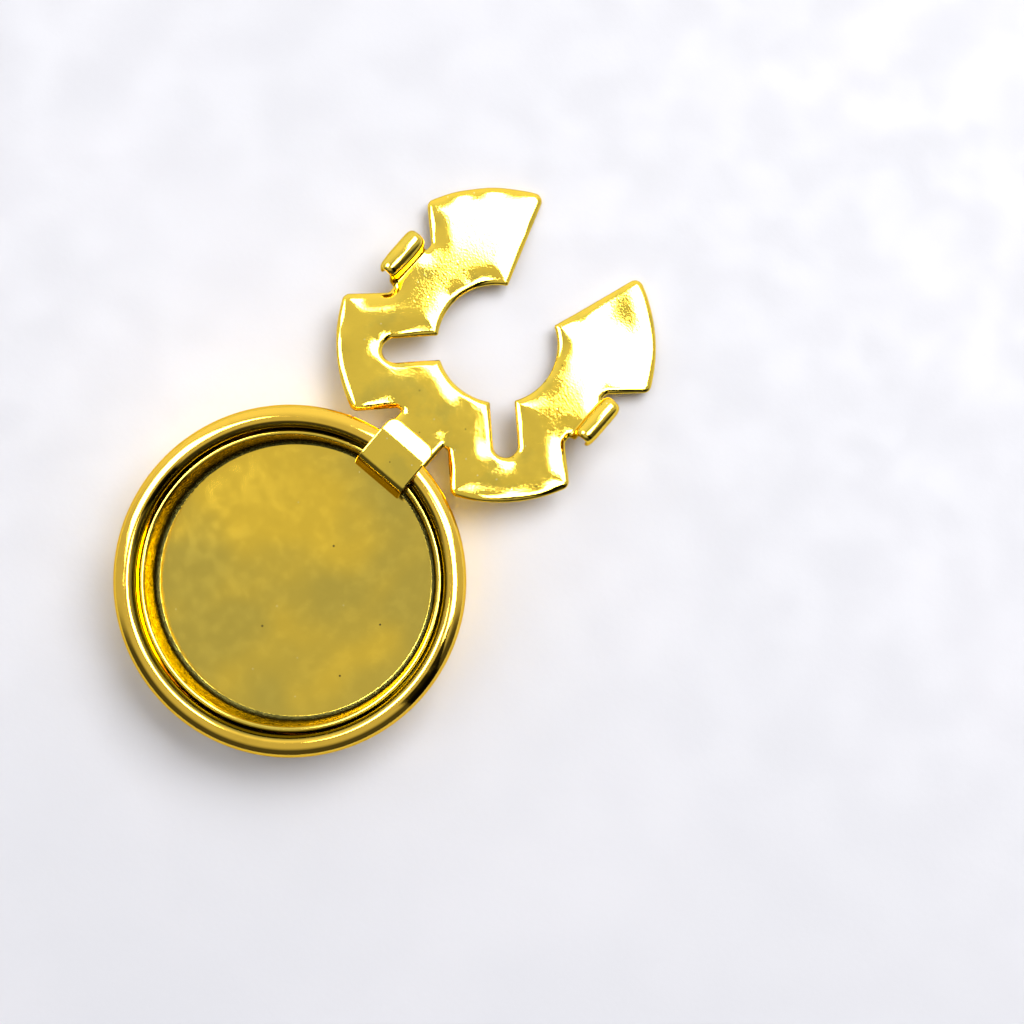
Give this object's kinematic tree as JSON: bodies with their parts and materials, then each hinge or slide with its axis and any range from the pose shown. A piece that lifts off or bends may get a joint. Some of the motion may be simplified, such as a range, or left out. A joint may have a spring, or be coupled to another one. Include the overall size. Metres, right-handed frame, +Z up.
{
  "type": "hinged coin capsule",
  "caption": "Small round capsule: a shallow lined tray with a beaded rim, and a slotted, winged back plate that hinges over it and snaps shut.",
  "frame": {"origin": "centre of the flat front face, which lies on the table", "axes": "+Z up out of the tray's mouth, +Y from the tray's centre to the hinge, +X along the hinge axis"},
  "size_m": [0.018, 0.0328, 0.0043],
  "materials": {
    "polished_face": "mirror polished, gold plated",
    "polished_rim": "mirror polished, gold plated",
    "stamped_liner": "gold plated, bright floor, drawn and pitted wall",
    "tumbled_plate": "gold plated, tumbled, with fine scratches and specks"
  },
  "bodies": {
    "tray": {"front_cap": "polished_face", "rim_ring": "polished_rim", "tray_liner": "stamped_liner"},
    "plate": {"back_plate": "tumbled_plate"}
  },
  "joints": [
    {"name": "plate_hinge", "type": "hinge", "parent": "tray", "child": "plate", "pos_m": [0, 0.00835, 0.0033], "axis": [1, 0, 0], "range_deg": [0, 188.38]}
  ]
}
